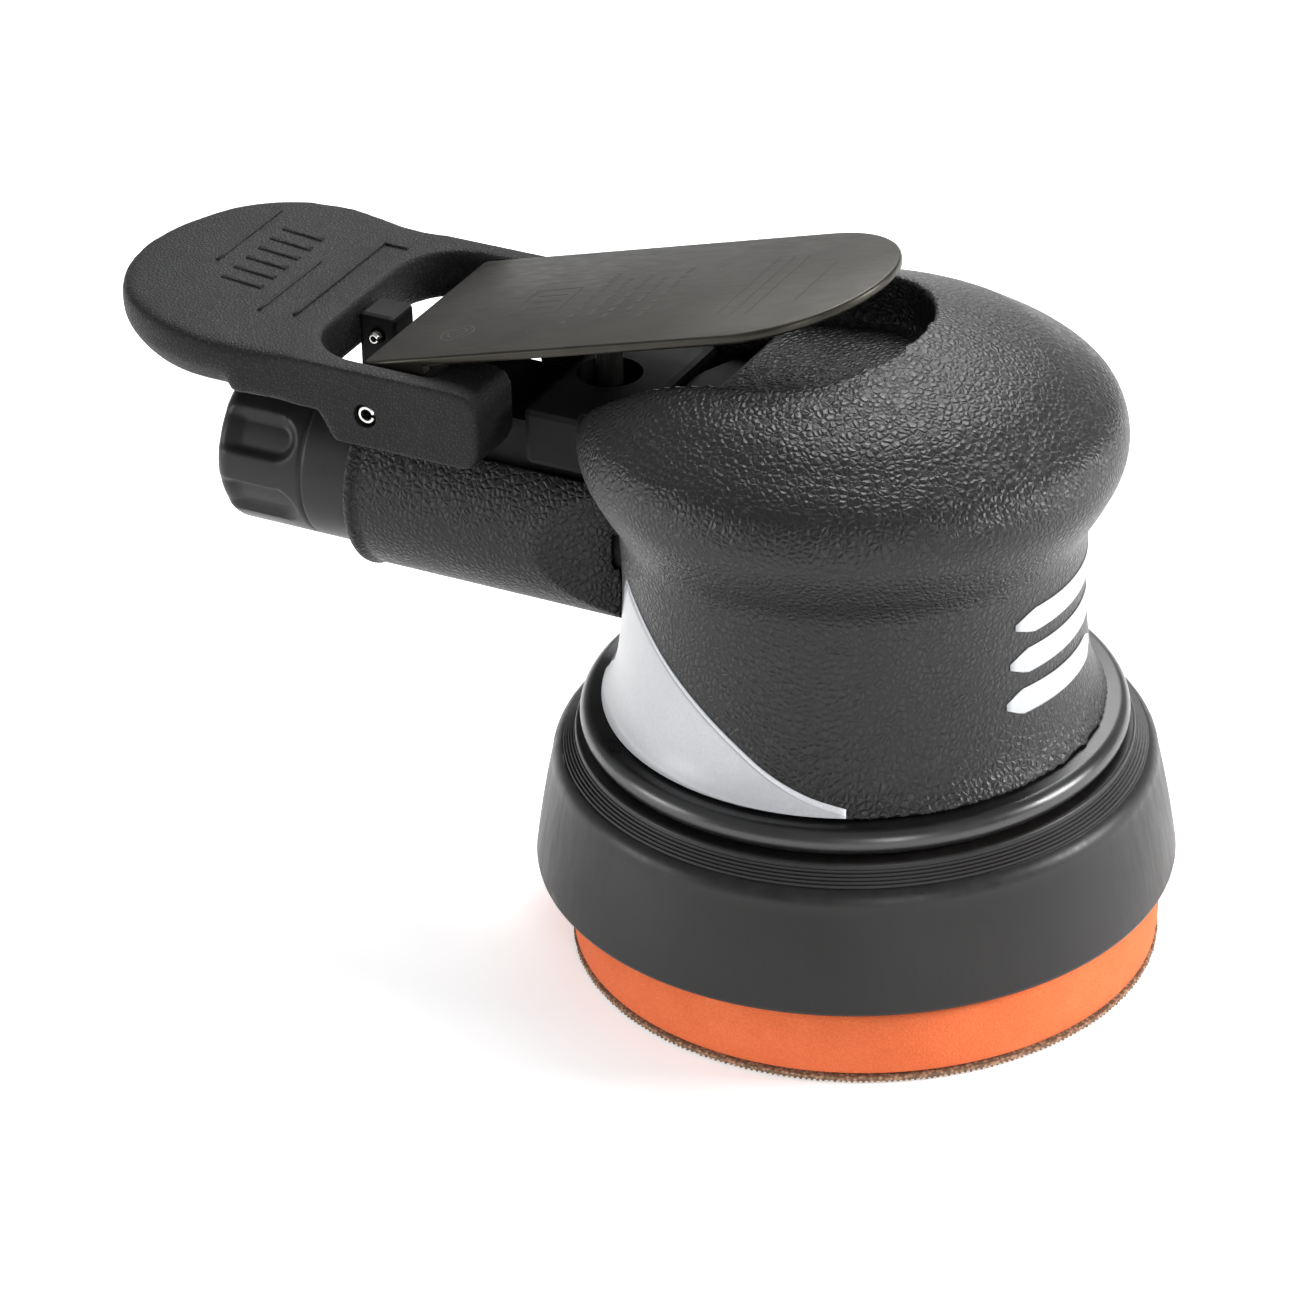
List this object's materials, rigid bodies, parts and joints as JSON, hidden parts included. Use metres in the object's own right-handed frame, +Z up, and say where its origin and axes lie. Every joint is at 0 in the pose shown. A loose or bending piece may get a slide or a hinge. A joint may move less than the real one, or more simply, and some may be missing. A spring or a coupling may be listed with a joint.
{
  "type": "orbital sander",
  "caption": "Air-driven random orbital sander with a palm head, throttle lever, wrist platform, rubber skirt and round foam pad.",
  "frame": {"origin": "on the motor axis in the plane of the sanding face; the pad's own axis is offset from it by the orbit", "axes": "+Z up along the motor axis, -X to the rear along the handle, +Y to the tool's left"},
  "size_m": [0.1689, 0.0966, 0.1095],
  "materials": {
    "grip": "pebbled soft grip overmould",
    "housing": "satin black",
    "rubber": "satin black rubber",
    "gloss_black": "glossy black",
    "lever_steel": "dark bronze satin",
    "steel": "machined",
    "brass": "machined",
    "felt": "pressed felt",
    "foam": "orange closed-cell foam",
    "hook": "hook face",
    "fibre": "glass-filled fibre",
    "vane": "laminated phenolic"
  },
  "bodies": {
    "tool": {"grip_cover": "grip", "motor_housing": "housing", "handle_sleeve": "grip", "lock_ring": "gloss_black", "skirt": "rubber", "lower_end_plate": "steel", "upper_end_plate": "steel", "cylinder_liner": "steel", "lower_bearing_outer_race": "steel", "upper_bearing_outer_race": "steel", "inlet_bushing": "steel", "muffler_felt": "felt", "valve_seat": "brass", "stem_guide": "brass", "valve_spring": "steel", "hinge_pin": "steel", "platform_pin": "steel", "wrist_platform": "grip"},
    "lever": {"throttle_lever": "lever_steel"},
    "valve": {"valve_stem": "steel", "valve_tip": "rubber"},
    "rotor_shaft": {"shaft_balancer": "steel", "rotor": "steel", "rotor_vane_1": "vane", "rotor_vane_2": "vane", "rotor_vane_3": "vane", "rotor_vane_4": "vane", "rotor_vane_5": "vane", "lower_bearing_inner_race": "steel", "upper_bearing_inner_race": "steel", "pad_bearing_outer_race": "steel"},
    "pad": {"pad_spindle": "steel", "spindle_cap_screw": "steel", "pad_bearing_inner_race": "steel", "pad_stud": "steel", "pad_backing_plate": "fibre", "pad_foam": "foam", "pad_hook_face": "hook"},
    "lower_cage": {"lower_bearing_ball_cage": "brass"},
    "upper_cage": {"upper_bearing_ball_cage": "brass"},
    "pad_cage": {"pad_bearing_ball_cage": "brass"},
    "muffler": {"muffler_cap": "housing"}
  },
  "joints": [
    {"name": "lever_pivot", "type": "hinge", "parent": "tool", "child": "lever", "pos_m": [-0.0687, 0, 0.0812], "axis": [0, 1, 0], "range_deg": [0, 4.5], "stiffness_Nm_per_rad": 2, "springref_deg": -6.88},
    {"name": "valve_stroke", "type": "slide", "parent": "tool", "child": "valve", "axis": [0, 0, -1], "range_m": [0, 0.0026], "stiffness_N_per_m": 60, "springref_m": -0.003, "deforming": ["valve_spring"]},
    {"name": "rotor_spin", "type": "hinge", "parent": "tool", "child": "rotor_shaft", "pos_m": [0, 0, 0], "axis": [0, 0, 1], "continuous": true},
    {"name": "pad_spin", "type": "hinge", "parent": "rotor_shaft", "child": "pad", "pos_m": [0.00206, -0.00123, 0], "axis": [0, 0, 1], "continuous": true},
    {"name": "lower_cage_spin", "type": "hinge", "parent": "tool", "child": "lower_cage", "pos_m": [0, 0, 0], "axis": [0, 0, 1], "continuous": true},
    {"name": "upper_cage_spin", "type": "hinge", "parent": "tool", "child": "upper_cage", "pos_m": [0, 0, 0], "axis": [0, 0, 1], "continuous": true},
    {"name": "pad_cage_spin", "type": "hinge", "parent": "rotor_shaft", "child": "pad_cage", "pos_m": [0.00206, -0.00123, 0], "axis": [0, 0, 1], "continuous": true},
    {"name": "muffler_turn", "type": "hinge", "parent": "tool", "child": "muffler", "pos_m": [-0.09, 0, 0.06], "axis": [-1, 0, 0], "continuous": true}
  ],
  "couplings": [
    {"joint": "valve_stroke", "follows": "lever_pivot", "m_per_rad": 0.0317},
    {"joint": "lower_cage_spin", "follows": "rotor_spin", "ratio": 0.4079},
    {"joint": "upper_cage_spin", "follows": "rotor_spin", "ratio": 0.376},
    {"joint": "pad_cage_spin", "follows": "pad_spin", "ratio": 0.3889}
  ]
}
